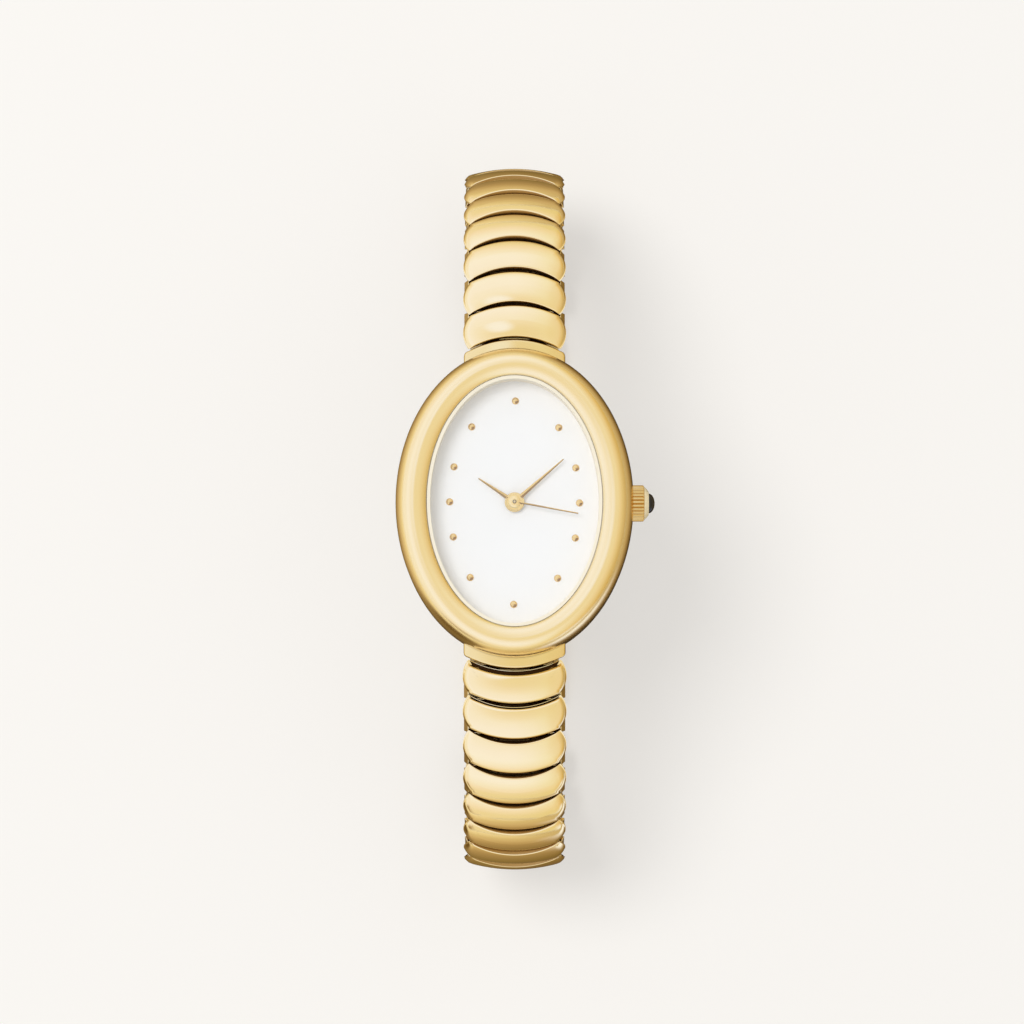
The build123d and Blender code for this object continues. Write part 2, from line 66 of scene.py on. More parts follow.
# Hoods over the first hinges. The block ends and the tongue starts a way back from the hinge.
hood_half_width = 5.15 * mm
hood_root = 11.5 * mm
hood_top = 1.2 * mm
hood_edge = 0.22 * mm
hood_foot = 0.2 * mm
hood_waist = 0.6 * mm
hood_waist_pull = 0.1 * mm
hood_waist_steps = 8
hood_steps = 28
hood_edge_shares = (0.0, 0.2, 0.4, 0.6, 0.8, 1.0)
hood_roof_shares = (0.35, 0.7, 1.0)
hood_roof_end = 13.2 * mm
hood_narrow_share = 0.7
hood_block_back = 1.32 * mm
hood_block_top = 0.3 * mm
hood_tongue_back = 1.5 * mm

# Bracelet links, in a link's own frame: X across, Y along, Z out of the wrist
links_per_side = 13
link_pitch = 3.5 * mm
link_half_width = 5.25 * mm
corner_x = 4.66 * mm
near_edge = 0.05 * mm
joint_gap = 0.15 * mm
nose = link_pitch - near_edge - joint_gap
crescent_radius = 10.3 * mm
cap_top = 1.5 * mm
dome_radius = 17.0 * mm
roll_radius = 6.4 * mm
roll_centre = 1.3 * mm
far_round = 0.3 * mm
side_round = 0.6 * mm
corner_round = 0.3 * mm
tip_round = 0.12 * mm
rim_width = 0.06 * mm
groove_width = 0.12 * mm
first_groove_width = 0.36 * mm
groove_depth = 0.4 * mm
shoulder = 0.3 * mm
cap_floor_level = 0.22 * mm
link_depth = 0.75 * mm
knuckle_radius = 0.6 * mm
knuckle_room = 0.7 * mm
tongue_half_width = 1.58 * mm
ear_inner = 1.68 * mm
ear_half_width = 4.6 * mm
body_top = 4.72 * mm
body_foot = 5.15 * mm
body_reach = 2.75 * mm
body_near_rise = 0.05 * mm
body_far_drop = 0.12 * mm
tongue_start = 2.0 * mm
pin_radius = 0.36 * mm
pin_overlap = 0.1 * mm
side_bevel = 0.06 * mm
fine_bevel = 0.03 * mm

# How a cap's shell is drawn: steps along its edges, and rings that run in from the outline
# to the cap's middle line
crescent_steps = 16
bulge_steps = 18
corner_steps = 6
tip_steps = 4
corner_play = 0.02 * mm
middle_reach = 3.6 * mm
middle_share = 0.8
fan_start = 4.0 * mm
fan_width = 0.5 * mm
roof_shares = (0.15, 0.35, 0.6, 0.8, 1.0)
under_share = 0.5
inset_step = 0.1 * mm
edge_wall = 0.06 * mm
foot_wall = 0.04 * mm
cap_thickness = 0.2 * mm
groove_wall = 0.02 * mm
rings_below = 3
# Rows of a plain cap's near edge that take painted shade, how far the painted shade keeps from the
# corners, and how far back it reaches
painted_edge_rows = (2, 3)
painted_shade_clear = 0.1 * mm
painted_shade_reach = 0.2 * mm
# (way in, drop) pairs behind a cap's near edge: plain, over a rim, and from a groove's back on
plain_sections = [(0.0, 0.1 * mm), (0.02 * mm, 0.05 * mm), (0.05 * mm, 0.02 * mm), (0.1 * mm, 0.0)]
rim_sections = [(0.0, 0.26 * mm), (0.02 * mm, 0.22 * mm), (rim_width, 0.22 * mm)]
shoulder_sections = [(0.02 * mm, 0.16 * mm), (0.08 * mm, 0.07 * mm), (0.18 * mm, 0.015 * mm),
                     (shoulder, 0.0)]

# Crown
crown_radius = 1.85 * mm
crown_flutes = 28
steps_per_flute = 8
flute_depth = 0.16 * mm
flute_power = 0.6
crown_edge = 0.12 * mm
crown_back_chamfer = 0.25 * mm
crown_front_chamfer = 0.05 * mm
crown_step = 0.03 * mm
nose_inset = 0.01 * mm
crown_body = 1.66 * mm
crown_nose = 0.49 * mm
crown_nose_radius = 1.18 * mm
nose_shares = (0.25, 0.5, 0.75, 1.0)
nose_power = 1.3
nose_tip = 0.2 * mm
# Rows of the crown's nose in a pale non-metal: a painted highlight
highlight_first_row = 4
highlight_end_row = 9
cabochon_radius = 1.0 * mm
cabochon_sink = 0.25 * mm
cabochon_rows = 12
cabochon_open_share = 0.5

# Dial furniture
marker_radius = 0.37 * mm
marker_height = 0.21 * mm
marker_tip = 0.01 * mm
markers_across = 6.55 * mm
markers_along = 10.3 * mm
markers_turn = -0.5
dot_steps = 28
dot_rows = 8
# The part of each dot's round and the rows that take painted shade
dot_shade_share = 0.72
dot_shade_rows = (3, 4, 5, 6)
hand_root = 0.5 * mm
hand_tip = 0.12 * mm
second_root = 0.2 * mm
second_tip = 0.13 * mm
hand_room = 0.1 * mm
tip_height_share = 0.4
ridge_foot_share = 0.15
boss_radius = 1.0 * mm
boss_bulge_share = 0.93
boss_steps = 48
boss_rows = 8
pipe_radius = 0.3 * mm
dimple_radius = 0.2 * mm
dimple_lip = 0.02 * mm
dimple_depth_share = 0.5
dimple_floor_share = 0.6
hour_turn = 303.5
minute_turn = 48.7
second_turn = 100.5
crystal_bevel = 0.25 * mm
seal_gap = 0.02 * mm

# Soft edges of the nodes that keep their own shape
node_bevel = 0.05 * mm
clasp_bevel = 0.14 * mm

# Noise of the materials: scales, detail, and the height of the grain
metal_clouds = 180.0
metal_polish = 2600.0
metal_grain = 5200.0
plain_clouds = 220.0
plain_polish = 3000.0
glass_waves = 90.0
polish_detail = 4.0
grain_detail = 5.0
grain_height = 0.01 * mm
# The part of the noise's run that is spread over a range of polish
noise_low, noise_high = 0.3, 0.7
# Samples of the occlusion that places the painted crevice shade
crevice_shade_samples = 8
glass_colour = (0.98, 0.99, 1.0, 1.0)
glass_polish = 0.02
glass_index = 1.5
glass_alpha = 0.06
glass_grain = 0.01

# Angles above which an edge is drawn sharp
usual_sharp = 35.0
cap_sharp = 50.0
glass_sharp = 25.0
marker_sharp = 60.0
hand_sharp = 25.0
crown_sharp = 28.0
stone_sharp = 60.0
bevel_sharp = 38.0

# What the gold mirrors: a bright sky that fades to the horizon but not on the left, warmer
# on the right, and a card on the floor that darkens towards the watch
card_reach = 600 * mm
card_hole = 1 * mm
card_level = 0.03 * mm
card_shift = 8 * mm
card_narrow = 1.5
card_stops = [(0.0, (0.01, 0.005, 0.0)), (0.04, (0.05, 0.03, 0.01)), (0.07, (0.21, 0.14, 0.06)),
              (0.083, (0.28, 0.2, 0.07)), (0.1, (0.38, 0.28, 0.14)), (0.125, (0.5, 0.38, 0.21)),
              (0.15, (0.63, 0.5, 0.3)), (0.183, (0.72, 0.6, 0.4)), (0.233, (0.75, 0.65, 0.42)),
              (0.333, (0.85, 0.77, 0.56)), (0.58, (0.88, 0.82, 0.62)), (1.0, (0.91, 0.87, 0.69))]
card_side_stops = [(0.3, (1.15, 1.2, 1.4)), (0.42, (1.1, 1.12, 1.2)), (0.5, (1, 1, 1)),
                   (0.56, (0.8, 0.75, 0.68)), (0.8, (0.65, 0.58, 0.5))]
sky_stops = [(0.0, (0.93, 0.9, 0.73)), (0.12, (0.96, 0.93, 0.8)), (0.28, (1.04, 1.03, 1.14)),
             (0.42, (1.06, 1.14, 1.42)), (0.57, (1.09, 1.21, 1.7)), (0.75, (1.08, 1.18, 1.65)),
             (0.88, (1.06, 1.14, 1.47)), (0.93, (1.03, 1.06, 1.2)), (0.97, (0.99, 0.98, 1.0)),
             (1.0, (0.97, 0.95, 0.85))]
side_stops = [(0.5, (1, 1, 1)), (0.6, (0.98, 0.97, 0.9)), (0.675, (0.95, 0.92, 0.74)),
              (0.71, (0.91, 0.83, 0.58)), (0.83, (0.86, 0.71, 0.41)), (0.93, (0.77, 0.61, 0.3)),
              (0.983, (0.71, 0.6, 0.36)), (1.0, (0.66, 0.56, 0.4))]
left_lift = -0.42
# Patches on the card: (centre, turn, half length, half width, colour). A patch fades in from
# the first of these parts of its half sizes to the second.
patch_start, patch_full = 1.1, 0.4
card_patches = [((75 * mm, -85 * mm, 0), 0.0, 62 * mm, 62 * mm, (1.1, 1.25, 1.8)),
                ((-55 * mm, -68 * mm, 0), 51.0, 70 * mm, 30 * mm, (0.16, 0.1, 0.03))]
# Patches in the sky: (direction, cosines of the faded and the full edge, colour)
sky_patches = [((0.62, -0.74, -0.22), 0.88, 0.97, (1.07, 1.22, 1.7)),
               ((-0.6, -0.78, -0.14), 0.92, 0.985, (0.4, 0.28, 0.13)),
               ((-0.19, 0.2, 0.96), 0.975, 0.997, (1.08, 1.22, 1.8))]
# The lamp casts the soft shadow, and an even light fills it
key_direction = (-0.4, 0.2, 0.92)
key_distance = 1.2
key_size = 0.6
key_power = 6.6
key_target_height = 20 * mm
fill_colour = (0.97, 0.98, 1.0, 1)
fill_strength = 0.66
floor_half = 1.5
floor_drop = 0.02 * mm
floor_glow_share = 0.5

# Camera: an upright look, a little from the six o'clock side
camera_elevation = 85.0
camera_distance = 370 * mm
camera_lens = 129.0
camera_sensor = 36.0
camera_near = 0.01
aim_shift_x = -0.262 * mm
aim_shift_y = -0.968 * mm

x_axis = Vector((1, 0, 0))
y_axis = Vector((0, 1, 0))
z_axis = Vector((0, 0, 1))

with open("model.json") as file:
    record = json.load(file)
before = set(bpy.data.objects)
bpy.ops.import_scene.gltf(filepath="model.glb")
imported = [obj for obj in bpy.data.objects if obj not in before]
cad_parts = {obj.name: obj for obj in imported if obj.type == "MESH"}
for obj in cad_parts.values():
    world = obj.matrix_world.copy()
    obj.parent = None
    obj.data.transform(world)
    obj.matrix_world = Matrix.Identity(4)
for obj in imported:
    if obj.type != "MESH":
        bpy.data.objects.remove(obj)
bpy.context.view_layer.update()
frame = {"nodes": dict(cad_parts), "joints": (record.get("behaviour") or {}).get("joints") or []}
joints = {}
for joint in frame["joints"]:
    joints[joint["child"]] = joint


# Helpers


def srgb(r, g, b):
    """A screen colour as the shader's linear colour."""
    out = []
    for v in (r, g, b):
        v = v / 255
        out.append(v / 12.92 if v <= 0.04045 else ((v + 0.055) / 1.055) ** 2.4)
    return (*out, 1.0)


def hinge_place(child):
    return Vector(joints[child]["pos_m"])


def mesh_piece(name, parts, material, sharp=usual_sharp, bevel=0.0, second=None, marked=()):
    """One object from closed shells, with the marked faces of the first in a second material."""
    points, faces = [], []
    for part_points, part_faces in parts:
        start = len(points)
        points += [tuple(p) for p in part_points]
        faces += [[start + i for i in face] for face in part_faces]
    mesh = bpy.data.meshes.new(name)
    mesh.from_pydata(points, [], faces)
    mesh.update()
    obj = bpy.data.objects.new(name, mesh)
    bpy.context.scene.collection.objects.link(obj)
    mesh.materials.append(material)
    if second:
        mesh.materials.append(second)
    for i in marked:
        mesh.polygons[i].material_index = 1
    mesh.shade_smooth()
    mesh.set_sharp_from_angle(angle=math.radians(sharp))
    if bevel:
        soften(obj, bevel)
    return obj


def soften(obj, width):
    edge = obj.modifiers.new("soft edge", "BEVEL")
    edge.width = width
    edge.segments = 2
    edge.limit_method = "ANGLE"
    edge.angle_limit = math.radians(bevel_sharp)
    edge.harden_normals = True
    return edge


def skin(rings, wrap=False, ends=True):
    """Joins rings of equal length into a shell."""
    count = len(rings[0])
    points = [p for ring in rings for p in ring]
    faces = []
    last = len(rings) if wrap else len(rings) - 1
    for r in range(last):
        low, high = r * count, ((r + 1) % len(rings)) * count
        for i in range(count):
            j = (i + 1) % count
            faces.append([low + i, low + j, high + j, high + i])
    if ends and not wrap:
        faces.append(list(range(count))[::-1])
        faces.append([(len(rings) - 1) * count + i for i in range(count)])
    return points, faces


def oval_ring(across, along, z, steps=oval_steps):
    ring = []
    for i in range(steps):
        angle = 2 * math.pi * i / steps
        ring.append(Vector((across * math.cos(angle), along * math.sin(angle), z)))
    return ring


def turned(profile, axis_start, axis, side, steps=48, flute=None):
    """A round about an axis from (distance, radius) pairs."""
    up = axis.cross(side)
    rings = []
    for distance, radius in profile:
        ring = []
        for i in range(steps):
            angle = 2 * math.pi * i / steps
            reach = radius if flute is None else flute(radius, angle)
            spoke = side * (reach * math.cos(angle)) + up * (reach * math.sin(angle))
            ring.append(axis_start + axis * distance + spoke)
        rings.append(ring)
    return skin(rings)


def rod(radius, x_low, x_high, y, z, steps=32, edge=0.06 * mm):
    """A round across the bracelet with softened ends."""
    length = x_high - x_low
    profile = [(0, radius - edge), (edge, radius), (length - edge, radius), (length, radius - edge)]
    return turned(profile, Vector((x_low, y, z)), x_axis, y_axis, steps)


def brick(low, high):
    points = []
    for x in (low[0], high[0]):
        for y in (low[1], high[1]):
            for z in (low[2], high[2]):
                points.append(Vector((x, y, z)))
    faces = [[0, 1, 3, 2], [4, 6, 7, 5], [0, 4, 5, 1], [2, 3, 7, 6], [0, 2, 6, 4], [1, 5, 7, 3]]
    return points, faces


def moved(part, matrix):
    points, faces = part
    return [matrix @ p for p in points], faces


def dress(obj, body, *nodes, slot=None):
    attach(obj, body)
    if nodes:
        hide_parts(*nodes)


# Materials


def new_material(name):
    material = bpy.data.materials.new(name)
    material.use_nodes = True
    tree = material.node_tree
    return material, tree, tree.nodes["Principled BSDF"]


def emptied(owner):
    """Turns the nodes of a material or world on, and clears them."""
    owner.use_nodes = True
    owner.node_tree.nodes.clear()
    return owner.node_tree


def mix_shaders(tree, share, first, second):
    mix = tree.nodes.new("ShaderNodeMixShader")
    tree.links.new(share, mix.inputs[0])
    tree.links.new(first, mix.inputs[1])
    tree.links.new(second, mix.inputs[2])
    return mix.outputs[0]


def noise(tree, scale, detail=3.0, stretch=(1, 1, 1)):
    place = tree.nodes.new("ShaderNodeTexCoord")
    mapping = tree.nodes.new("ShaderNodeMapping")
    mapping.inputs["Scale"].default_value = stretch
    texture = tree.nodes.new("ShaderNodeTexNoise")
    texture.inputs["Scale"].default_value = scale
    texture.inputs["Detail"].default_value = detail
    tree.links.new(place.outputs["Object"], mapping.inputs["Vector"])
    tree.links.new(mapping.outputs["Vector"], texture.inputs["Vector"])
    return texture.outputs["Fac"]


def spread(tree, value, low, high):
    """Maps a noise to a range."""
    node = tree.nodes.new("ShaderNodeMapRange")
    node.inputs["From Min"].default_value = noise_low
    node.inputs["From Max"].default_value = noise_high
    node.inputs["To Min"].default_value = low
    node.inputs["To Max"].default_value = high
    tree.links.new(value, node.inputs["Value"])
    return node.outputs["Result"]


def two_tone(tree, value, first, second):
    node = tree.nodes.new("ShaderNodeMix")
    node.data_type = "RGBA"
    node.inputs[6].default_value = first
    node.inputs[7].default_value = second
    tree.links.new(value, node.inputs[0])
    return node.outputs[2]


def bump(tree, shader, value, strength, distance):
    node = tree.nodes.new("ShaderNodeBump")
    node.inputs["Strength"].default_value = strength
    node.inputs["Distance"].default_value = distance
    tree.links.new(value, node.inputs["Height"])
    tree.links.new(node.outputs["Normal"], shader.inputs["Normal"])


def paint_crevice_shade(tree, shader, reach, low, high):
    """Paints shade deep in the gaps between pieces: a dark brown diffuse is mixed in where ambient
    occlusion finds the surface closed in.
    """
    open_share = tree.nodes.new("ShaderNodeAmbientOcclusion")
    open_share.inputs["Distance"].default_value = reach
    open_share.samples = crevice_shade_samples
    ramp = tree.nodes.new("ShaderNodeMapRange")
    ramp.interpolation_type = "SMOOTHSTEP"
    ramp.inputs["From Min"].default_value = low
    ramp.inputs["From Max"].default_value = high
    tree.links.new(open_share.outputs["AO"], ramp.inputs["Value"])
    painted_shade = tree.nodes.new("ShaderNodeBsdfDiffuse")
    painted_shade.inputs["Color"].default_value = crevice_shade_brown
    mixed = mix_shaders(tree, ramp.outputs["Result"], painted_shade.outputs[0], shader.outputs[0])
    tree.links.new(mixed, tree.nodes["Material Output"].inputs["Surface"])


def metal(name, first, second, rough_low, rough_high, grain=0.0, stretch=(1, 1, 1), crevice_shade=None):
    """A metal whose colour and polish vary a little, with a fine grain, and painted shade in its crevices
    when a reach is given for it.
    """
    material, tree, shader = new_material(name)
    shader.inputs["Metallic"].default_value = 1.0
    clouds = noise(tree, metal_clouds)
    tree.links.new(two_tone(tree, clouds, first, second), shader.inputs["Base Color"])
    fine = noise(tree, metal_polish, polish_detail, stretch)
    tree.links.new(spread(tree, fine, rough_low, rough_high), shader.inputs["Roughness"])
    if grain:
        bump(tree, shader, noise(tree, metal_grain, grain_detail, stretch), grain, grain_height)
    # Painted shade where the gaps close in
    if crevice_shade:
        paint_crevice_shade(tree, shader, *crevice_shade)
    return material


def plain(name, first, second, rough_low, rough_high, grain=0.0, scale=plain_polish):
    """A non-metal with a little variation in tone, polish and surface."""
    material, tree, shader = new_material(name)
    clouds = noise(tree, plain_clouds)
    tree.links.new(two_tone(tree, clouds, first, second), shader.inputs["Base Color"])
    fine = noise(tree, scale, polish_detail)
    tree.links.new(spread(tree, fine, rough_low, rough_high), shader.inputs["Roughness"])
    if grain:
        bump(tree, shader, fine, grain, grain_height)
    return material


gold = srgb(243, 219, 164)
gold_deep = srgb(241, 216, 158)
# Colour of the shade painted into crevices and gaps
crevice_shade_brown = srgb(30, 12, 2)
# The crevice argument of these metals paints shade into their gaps
link_gold = metal("link_gold", gold, gold_deep, 0.08, 0.11, 0.02, crevice_shade=(0.8 * mm, 0.15, 0.6))
side_gold = metal("side_gold", gold, gold_deep, 0.12, 0.16, 0.02, crevice_shade=(0.8 * mm, 0.3, 0.7))
# Dark brown painted shade for the groove behind the first caps' near edge
groove_painted_shade = metal("groove_painted_shade", srgb(60, 36, 14), srgb(48, 28, 10), 0.4, 0.5, 0.03)
# Brown painted shade for the near edge of the other caps
edge_painted_shade = metal("edge_painted_shade", srgb(184, 146, 88), srgb(174, 136, 80), 0.35, 0.42, 0.03)
# A darker copy of the gold for the parts under the caps: painted shade, with painted crevice shade too
hinge_painted_shade_gold = metal("hinge_painted_shade_gold", srgb(222, 192, 130), srgb(214, 184, 122), 0.25, 0.32, 0.03,
                   crevice_shade=(1.4 * mm, 0.45, 0.9))
bezel_gold = metal("case_gold", gold, gold_deep, 0.2, 0.23, 0.01, crevice_shade=(1.9 * mm, 0.2, 0.9))
# Deeper gold on the hoods: a painted reflection of the bezel's gold side, with painted crevice shade
hood_painted_reflection_gold = metal("hood_painted_reflection_gold", srgb(236, 209, 144), srgb(234, 206, 139), 0.14, 0.18, 0.02,
                  crevice_shade=(0.6 * mm, 0.1, 0.65))
clasp_gold = metal("clasp_gold", gold, gold_deep, 0.16, 0.24, 0.12, (1, 14, 1))
crown_gold = metal("crown_gold", srgb(218, 184, 120), srgb(212, 177, 112), 0.16, 0.2, 0.03)
# Pale non-metal on the crown's nose: a painted highlight in place of the gold's reflection
crown_painted_highlight = plain("crown_painted_highlight", srgb(248, 230, 186), srgb(245, 226, 180), 0.2, 0.28, 0.03)
hand_gold = metal("hand_gold", srgb(243, 214, 146), srgb(238, 207, 136), 0.12, 0.16, 0.03)
# Darker copy of the hand gold: painted shade on one facet of each hand
hand_painted_shade = metal("hand_painted_shade", srgb(164, 132, 74), srgb(156, 122, 66), 0.2, 0.26, 0.03)
# Darker copy of the marker gold: painted shade on the dots' lower right
marker_painted_shade = metal("marker_painted_shade", srgb(158, 116, 56), srgb(148, 106, 48), 0.14, 0.18, 0.02)
marker_gold = metal("marker_gold", srgb(234, 198, 124), srgb(228, 190, 114), 0.1, 0.14, 0.02,
                    crevice_shade=(0.2 * mm, 0.2, 0.8))
steel = metal("steel", srgb(205, 205, 205), srgb(190, 190, 190), 0.25, 0.35, 0.1, (1, 12, 1))
back_steel = metal("back_steel", srgb(214, 209, 200), srgb(204, 199, 190), 0.24, 0.34, 0.12, (14, 1, 1))
movement_brass = metal("movement_brass", srgb(226, 208, 164), srgb(216, 196, 148), 0.22, 0.3, 0.06)
copper = metal("copper", srgb(196, 120, 78), srgb(178, 102, 62), 0.3, 0.4, 0.3, (30, 1, 1))
dial_white = plain("dial_white", srgb(247, 247, 246), srgb(245, 245, 244), 0.42, 0.5, 0.03, 9000.0)
ring_pale = plain("ring_pale", srgb(250, 238, 214), srgb(247, 234, 208), 0.3, 0.4, 0.03)
seal_pale = plain("seal_pale", srgb(244, 236, 216), srgb(240, 231, 208), 0.35, 0.45, 0.05)
plastic_pale = plain("movement_plastic", srgb(222, 222, 216), srgb(214, 214, 208), 0.45, 0.55, 0.1)
rubber_black = plain("seal_black", srgb(22, 22, 22), srgb(30, 30, 30), 0.6, 0.7, 0.2)
board_green = plain("board_green", srgb(38, 96, 60), srgb(30, 82, 50), 0.35, 0.45, 0.1)
stone_black = plain("cabochon_black", srgb(8, 9, 12), srgb(12, 12, 16), 0.03, 0.05)


def crystal_material():
    material, tree, shader = new_material("crystal")
    shader.inputs["Base Color"].default_value = glass_colour
    shader.inputs["Roughness"].default_value = glass_polish
    shader.inputs["IOR"].default_value = glass_index
    shader.inputs["Alpha"].default_value = glass_alpha
    bump(tree, shader, noise(tree, glass_waves, 1.0), glass_grain, grain_height)
    return material


crystal_clear = crystal_material()


# Frame nodes that keep their own shape


def dress_frame():
    plain_nodes = {
        "case_back": back_steel, "dial": dial_white, "crown_tube": steel, "crown_gasket": rubber_black,
        "winding_stem": steel, "movement_ring": plastic_pale, "main_plate": movement_brass,
        "train_bridge": movement_brass, "second_wheel": movement_brass, "third_wheel": movement_brass,
        "intermediate_wheel": plastic_pale, "centre_wheel": movement_brass, "minute_wheel": movement_brass,
        "hour_wheel": movement_brass, "rotor": steel, "stator": steel, "coil": copper, "battery": steel,
        "circuit_board": board_green, "clasp_box": clasp_gold, "clasp_cover": clasp_gold,
        "ladder_plate": clasp_gold,
    }
    for name, material in plain_nodes.items():
        obj = frame["nodes"][name]
        for slot in obj.material_slots:
            slot.material = material
        soften(obj, node_bevel)
    for name in ("clasp_box", "clasp_cover", "ladder_plate", "case_back"):
        frame["nodes"][name].modifiers["soft edge"].width = clasp_bevel


# Links


def dome(x, y):
    """Height of a cap's arched top."""
    return cap_top - x * x / (2 * dome_radius) - (y - roll_centre) ** 2 / (2 * roll_radius)


def crescent_y(x, middle):
    """A crescent edge whose middle stands furthest out."""
    return middle - crescent_radius + math.sqrt(crescent_radius**2 - x**2)


def crescent_run(middle, first, last, steps):
    """Points along a crescent edge from one x to another."""
    xs = [first + (last - first) * i / steps for i in range(steps + 1)]
    return [Vector((x, crescent_y(x, middle))) for x in xs]


def bezier(a, b, c, t):
    s = 1 - t
    return a * s * s + b * 2 * s * t + c * t * t


def rounded(points, corner, reach, steps):
    """Cuts a corner of a run of points off with a curve that starts a reach away."""
    before = [p for p in points[:corner] if (p - points[corner]).length > reach]
    after = [p for p in points[corner + 1:] if (p - points[corner]).length > reach]
    tip = points[corner]
    first = tip + (points[corner - 1] - tip).normalized() * reach
    last = tip + (points[corner + 1] - tip).normalized() * reach
    curve = [bezier(first, tip, last, i / steps) for i in range(steps + 1)]
    return before + curve + after


def half_outline():
    """The right half of a cap from above, from the middle of the near edge to the far one."""
    near = crescent_run(-near_edge, 0, corner_x, crescent_steps)
    far = crescent_run(nose, corner_x, 0, crescent_steps)
    chord = (far[0].y - near[-1].y) / 2
    bulge = link_half_width - corner_x
    radius = (chord**2 + bulge**2) / (2 * bulge)
    middle = (far[0].y + near[-1].y) / 2
    side = []
    for i in range(1, bulge_steps):
        y = -chord + 2 * chord * i / bulge_steps
        side.append(Vector((link_half_width - radius + math.sqrt(radius**2 - y**2), middle + y)))
    run = rounded(near + side + far, len(near) + len(side), corner_round, corner_steps)
    return rounded(run, len(near) - 1, tip_round, tip_steps)


def cap_outline():
    """The whole outline of a crescent cap, starting at the middle of the near edge."""
    right = half_outline()
    left = [Vector((-p.x, p.y)) for p in right[1:-1]]
    return right + list(reversed(left))


def away_from(q, line):
    """Distance of a point from a run of points."""
    best = None
    for a, b in zip(line, line[1:]):
        along = b - a
        share = max(0, min(1, (q - a).dot(along) / along.length_squared))
        gap = (q - a - along * share).length
        best = gap if best is None else min(best, gap)
    return best


def cap_floor(y):
    """Underside of a cap, clear of the next link's ears."""
    if y > link_pitch - knuckle_room:
        return math.sqrt(max(knuckle_room**2 - (link_pitch - y) ** 2, cap_floor_level**2))
    return cap_floor_level


def near_sections(groove):
    """(way in, drop) pairs behind the near edge of a cap."""
    if not groove:
        return plain_sections
    back = rim_width + groove
    sections = rim_sections + [(rim_width + groove_wall, groove_depth), (back, groove_depth)]
    return sections + [(back + way, drop) for way, drop in shoulder_sections]


def section_drop(sections, way):
    """Drop of the near edge at a way in from it."""
    for (a, high), (b, low) in zip(sections, sections[1:]):
        if way <= b:
            return high + (low - high) * (way - a) / (b - a)
    return 0.0


def round_drop(way, radius):
    """Drop of a rounded edge at a way in from it."""
    if way >= radius:
        return 0.0
    return radius * (1 - math.sqrt(1 - (1 - way / radius) ** 2))


def cap_edges(outline):
    """The near, far, right and left edges of a cap."""
    near = crescent_run(-near_edge, -corner_x, corner_x, 2 * crescent_steps)
    far = crescent_run(nose, -corner_x, corner_x, 2 * crescent_steps)
    sides = [p for p in outline if abs(p.x) >= corner_x - corner_play]
    return near, far, [p for p in sides if p.x > 0], [p for p in sides if p.x < 0]


def cap_fan(outline):
    """For each point of the outline the way in, and the point of the middle line it heads for."""
    fan = []
    for i, p in enumerate(outline):
        x = max(-middle_reach, min(middle_reach, p.x * middle_share))
        m = Vector((x, (crescent_y(x, -near_edge) + crescent_y(x, nose)) / 2))
        along = (outline[(i + 1) % len(outline)] - outline[i - 1]).normalized()
        inward = Vector((-along.y, along.x))
        share = max(0, min(1, (abs(p.x) - fan_start) / fan_width))
        fan.append((inward.lerp((m - p).normalized(), share).normalized(), m))
    return fan


def painted_shade_faces(outline, insets, groove):
    """The faces that take painted shade: the groove behind a cap's near edge, or the near edge itself."""
    rows = painted_edge_rows
    if groove:
        ways = [(a + b) / 2 for a, b in zip(insets, insets[1:])]
        end = rim_width + groove + groove_wall
        rows = [r + rings_below for r, way in enumerate(ways) if rim_width < way < end]
    count = len(outline)
    marked = []
    for i, p in enumerate(outline):
        following = outline[(i + 1) % count]
        if max(abs(p.x), abs(following.x)) < corner_x - painted_shade_clear and p.y < painted_shade_reach:
            marked += [row * count + i for row in rows]
    return marked


def cap_shell(groove):
    """A cap, and its faces that take painted shade."""
    sections = near_sections(groove)
    insets = [way for way, drop in sections] + [sections[-1][0] + inset_step]
    insets = sorted(insets + [(a + b) / 2 for a, b in zip(insets[3:], insets[4:])])
    outline = cap_outline()
    near, far, right, left = cap_edges(outline)

    def top(q):
        drop = max(section_drop(sections, away_from(q, near)), round_drop(away_from(q, far), far_round))
        for line in (right, left):
            drop = math.hypot(drop, round_drop(away_from(q, line), side_round))
        high = dome(q.x, q.y)
        return max(high - drop, min(cap_floor(q.y) + edge_wall, high))

    fan = cap_fan(outline)
    rings = [[Vector((p.x, p.y, min(cap_floor(p.y), top(p) - foot_wall))) for p in outline]]
    for inset in insets:
        ring = [p + way * inset for p, (way, m) in zip(outline, fan)]
        rings.append([Vector((q.x, q.y, top(q))) for q in ring])
    for share in roof_shares:
        ring = [(p + way * insets[-1]).lerp(m, share) for p, (way, m) in zip(outline, fan)]
        rings.append([Vector((q.x, q.y, top(q))) for q in ring])
    under = []
    for p, (way, m) in zip(outline, fan):
        q = p.lerp(m, under_share)
        under.append(Vector((q.x, q.y, min(cap_floor(q.y), dome(q.x, q.y) - cap_thickness))))
    flat = [Vector((m.x, m.y, cap_floor_level)) for way, m in fan]
    return skin([flat, under] + rings, ends=False), painted_shade_faces(outline, insets, groove)


def side_body():
    """The lower body of a link. Its sides lean out towards the wrist and its top slopes."""
    points = []
    near_top, far_top = cap_floor_level + body_near_rise, cap_floor_level - body_far_drop
    for y, high in ((0, near_top), (body_reach, far_top)):
        points += [Vector((-body_foot, y, -link_depth)), Vector((body_foot, y, -link_depth))]
        points += [Vector((body_top, y, high)), Vector((-body_top, y, high))]
    faces = [[3, 2, 1, 0], [4, 5, 6, 7], [0, 1, 5, 4], [1, 2, 6, 5], [2, 3, 7, 6], [3, 0, 4, 7]]
    return points, faces


